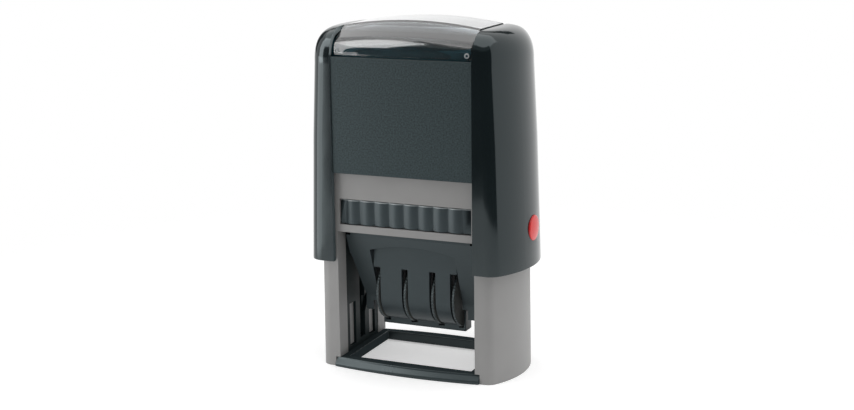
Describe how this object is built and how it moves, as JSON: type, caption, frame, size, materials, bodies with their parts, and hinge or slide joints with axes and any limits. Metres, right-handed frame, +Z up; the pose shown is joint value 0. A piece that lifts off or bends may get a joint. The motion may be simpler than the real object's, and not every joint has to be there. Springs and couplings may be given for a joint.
{
  "type": "self-inking date stamp",
  "caption": "Self-inking date stamp: a sprung cap slides down over a base and flips the die from its ink pad to the paper, with thumb wheels that set the date.",
  "frame": {"origin": "on the table, under the middle of the stamp", "axes": "+Z up along the cap's travel, X across the width, the front with the ink pad's grip towards -Y"},
  "size_m": [0.0742, 0.0394, 0.1108],
  "materials": {
    "base_grey": "satin moulded plastic, mid grey",
    "inner_grey": "plain moulded plastic, grey",
    "foot_black": "polished black plastic",
    "cap_gloss": "polished plastic, near black with a slate tint",
    "panel_grain": "finely grained plastic, near black",
    "date_unit_slate": "satin moulded plastic, dark slate",
    "grip_slate": "semi-gloss plastic, dark slate",
    "clear_window": "clear polished plastic",
    "card_white": "pale uncoated card",
    "steel": "drawn steel wire and pins",
    "mount_grey": "plain plate under the rubber",
    "die_rubber": "engraved rubber, dull red",
    "band_rubber": "moulded rubber, dark",
    "ink_felt": "inked felt, blue black",
    "button_red": "glossy red plastic"
  },
  "bodies": {
    "base": {"base_shell": "base_grey", "foot_frame": "foot_black", "guide_left": "inner_grey", "guide_right": "inner_grey", "spring_deck": "inner_grey", "return_spring": "steel"},
    "cap": {"cap_shell": "cap_gloss", "front_panel": "panel_grain", "rear_panel": "panel_grain", "cap_leg_left": "inner_grey", "cap_leg_right": "inner_grey", "index_card": "card_white"},
    "window": {"index_window": "clear_window"},
    "carrier": {"carrier_hood": "date_unit_slate", "drum_cover": "date_unit_slate", "band_bridge": "inner_grey", "pivot_pins": "steel", "wheel_axle": "steel", "die_mount": "mount_grey", "die_rubber": "die_rubber", "date_band_1": "band_rubber", "date_band_2": "band_rubber", "date_band_3": "band_rubber", "date_band_4": "band_rubber"},
    "wheel_1": {"date_wheel_1": "date_unit_slate"},
    "wheel_2": {"date_wheel_2": "date_unit_slate"},
    "wheel_3": {"date_wheel_3": "date_unit_slate"},
    "wheel_4": {"date_wheel_4": "date_unit_slate"},
    "pad": {"pad_tray": "grip_slate", "ink_pad": "ink_felt"},
    "button_left": {"lock_button_left": "button_red"},
    "button_right": {"lock_button_right": "button_red"}
  },
  "joints": [
    {"name": "cap_press", "type": "slide", "parent": "base", "child": "cap", "axis": [0, 0, -1], "range_m": [0, 0.033], "stiffness_N_per_m": 270, "springref_m": -0.011, "deforming": ["return_spring"]},
    {"name": "carrier_flip", "type": "hinge", "parent": "cap", "child": "carrier", "pos_m": [0, 0, 0.0399], "axis": [1, 0, 0], "range_deg": [0, 180]},
    {"name": "wheel_1_turn", "type": "hinge", "parent": "carrier", "child": "wheel_1", "pos_m": [0, 0, 0.0229], "axis": [1, 0, 0], "continuous": true},
    {"name": "wheel_2_turn", "type": "hinge", "parent": "carrier", "child": "wheel_2", "pos_m": [0, 0, 0.0229], "axis": [1, 0, 0], "continuous": true},
    {"name": "wheel_3_turn", "type": "hinge", "parent": "carrier", "child": "wheel_3", "pos_m": [0, 0, 0.0229], "axis": [1, 0, 0], "continuous": true},
    {"name": "wheel_4_turn", "type": "hinge", "parent": "carrier", "child": "wheel_4", "pos_m": [0, 0, 0.0229], "axis": [1, 0, 0], "continuous": true},
    {"name": "pad_slide", "type": "slide", "parent": "base", "child": "pad", "axis": [0, 1, 0], "range_m": [-0.03, 0]},
    {"name": "button_left_press", "type": "slide", "parent": "cap", "child": "button_left", "axis": [-1, 0, 0], "range_m": [-0.0018, 0], "stiffness_N_per_m": 300, "springref_m": 0.001},
    {"name": "button_right_press", "type": "slide", "parent": "cap", "child": "button_right", "axis": [1, 0, 0], "range_m": [-0.0018, 0], "stiffness_N_per_m": 300, "springref_m": 0.001},
    {"name": "window_lift", "type": "slide", "parent": "cap", "child": "window", "axis": [0, 0, 1], "range_m": [0, 0.01]}
  ],
  "couplings": [
    {"joint": "carrier_flip", "follows": "cap_press", "rad_per_m": 95.2}
  ]
}
